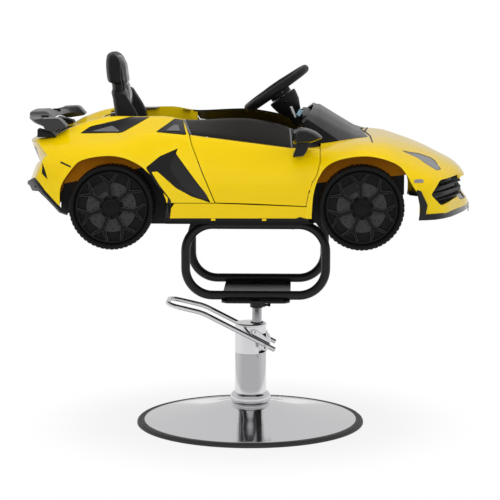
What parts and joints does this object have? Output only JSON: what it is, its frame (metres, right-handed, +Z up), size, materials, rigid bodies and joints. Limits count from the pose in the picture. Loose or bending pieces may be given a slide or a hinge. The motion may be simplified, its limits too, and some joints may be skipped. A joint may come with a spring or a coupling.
{
  "type": "kids car barber chair",
  "caption": "Children's barber chair: a yellow toy sports car with seat and doors on two tube loops, carried by a hydraulic pump with foot lever and round base",
  "frame": {"origin": "centre of the round base, on the floor", "axes": "+X is the car's forward direction, +Z is up, the car's right side is at -Y"},
  "size_m": [1.086, 0.688, 0.93],
  "materials": {
    "yellow": "gloss",
    "black": "satin black",
    "glossblack": "gloss black",
    "grey": "grey lens",
    "smoke": "satin dark grey",
    "chrome": "polished",
    "steel": "turned",
    "iron": "painted",
    "rubber": "matt",
    "coat": "black powder coat",
    "soft": "smooth black"
  },
  "bodies": {
    "base": {"base_rim": "rubber", "base_plate": "chrome", "base_weight": "iron", "base_bolts": "steel", "base_collar": "chrome", "pump_body": "steel", "pump_lower_cover": "chrome", "pump_upper_cover": "chrome", "pump_cap": "chrome", "lever_bracket": "chrome", "lever_pin": "chrome"},
    "lever": {"pump_lever": "chrome"},
    "ram": {"ram_rod": "steel"},
    "steering": {"steering_wheel": "black", "steering_shaft": "steel"},
    "tie": {"tie_rod": "steel"},
    "door_right": {"door_right": "yellow", "door_trim_right": "glossblack", "mirror_right": "glossblack"},
    "knuckle_right": {"knuckle_right": "steel"},
    "wheel_front_right": {"wheel_front_right": "black", "wheel_cover_front_right": "glossblack"},
    "wheel_rear_right": {"wheel_rear_right": "black", "wheel_cover_rear_right": "glossblack"},
    "door_left": {"door_left": "yellow", "door_trim_left": "glossblack", "mirror_left": "glossblack"},
    "knuckle_left": {"knuckle_left": "steel"},
    "wheel_front_left": {"wheel_front_left": "black", "wheel_cover_front_left": "glossblack"},
    "wheel_rear_left": {"wheel_rear_left": "black", "wheel_cover_rear_left": "glossblack"},
    "car": {"frame_socket": "coat", "socket_lock_screw": "coat", "frame_plate": "coat", "frame_loop_right": "coat", "frame_loop_left": "coat", "frame_bolts": "steel", "floor_pan": "black", "front_body": "yellow", "rear_body": "yellow", "rocker_right": "yellow", "rocker_left": "yellow", "headlights": "grey", "taillights": "grey", "quarter_windows": "glossblack", "side_intakes": "black", "door_hinges": "black", "rear_diffuser": "black", "front_grille": "black", "front_splitter": "black", "rear_deck": "black", "rear_wing": "smoke", "wing_struts": "yellow", "windshield": "smoke", "dashboard": "black", "steering_column": "black", "seat_shell": "black", "seat_pad": "soft", "rear_axle": "steel"}
  },
  "joints": [
    {"name": "lever_hinge", "type": "hinge", "parent": "base", "child": "lever", "pos_m": [0.038, 0, 0.202], "axis": [0, 1, 0], "range_deg": [-24, 0], "stiffness_Nm_per_rad": 8, "springref_deg": 17.19},
    {"name": "ram_lift", "type": "slide", "parent": "base", "child": "ram", "axis": [0, 0, 1], "range_m": [0, 0.12]},
    {"name": "seat_swivel", "type": "hinge", "parent": "ram", "child": "car", "pos_m": [0.017, 0, 0.33], "axis": [0, 0, 1], "continuous": true},
    {"name": "steering_turn", "type": "hinge", "parent": "car", "child": "steering", "pos_m": [0.065, 0, 0.842], "axis": [-0.5664, 0, 0.8241], "range_deg": [-35, 35]},
    {"name": "knuckle_right_turn", "type": "hinge", "parent": "car", "child": "knuckle_right", "pos_m": [0.2695, -0.222, 0.5775], "axis": [0, 0, 1], "range_deg": [-16, 16]},
    {"name": "door_right_hinge", "type": "hinge", "parent": "car", "child": "door_right", "pos_m": [0.148, -0.281, 0.6285], "axis": [0, 0, 1], "range_deg": [0, 48]},
    {"name": "wheel_front_right_spin", "type": "hinge", "parent": "knuckle_right", "child": "wheel_front_right", "pos_m": [0.2695, -0.255, 0.5775], "axis": [0, 1, 0], "continuous": true},
    {"name": "wheel_rear_right_spin", "type": "hinge", "parent": "car", "child": "wheel_rear_right", "pos_m": [-0.32, -0.255, 0.5775], "axis": [0, 1, 0], "continuous": true},
    {"name": "knuckle_left_turn", "type": "hinge", "parent": "car", "child": "knuckle_left", "pos_m": [0.2695, 0.222, 0.5775], "axis": [0, 0, 1], "range_deg": [-16, 16]},
    {"name": "door_left_hinge", "type": "hinge", "parent": "car", "child": "door_left", "pos_m": [0.148, 0.281, 0.6285], "axis": [0, 0, -1], "range_deg": [0, 48]},
    {"name": "wheel_front_left_spin", "type": "hinge", "parent": "knuckle_left", "child": "wheel_front_left", "pos_m": [0.2695, 0.255, 0.5775], "axis": [0, 1, 0], "continuous": true},
    {"name": "wheel_rear_left_spin", "type": "hinge", "parent": "car", "child": "wheel_rear_left", "pos_m": [-0.32, 0.255, 0.5775], "axis": [0, 1, 0], "continuous": true},
    {"name": "tie_rod_slide", "type": "slide", "parent": "car", "child": "tie", "axis": [0, 1, 0], "range_m": [-0.01005, 0.01005]}
  ],
  "couplings": [
    {"joint": "knuckle_right_turn", "follows": "steering_turn", "ratio": 0.45714},
    {"joint": "knuckle_left_turn", "follows": "steering_turn", "ratio": 0.45714},
    {"joint": "tie_rod_slide", "follows": "steering_turn", "m_per_rad": -0.016457}
  ]
}
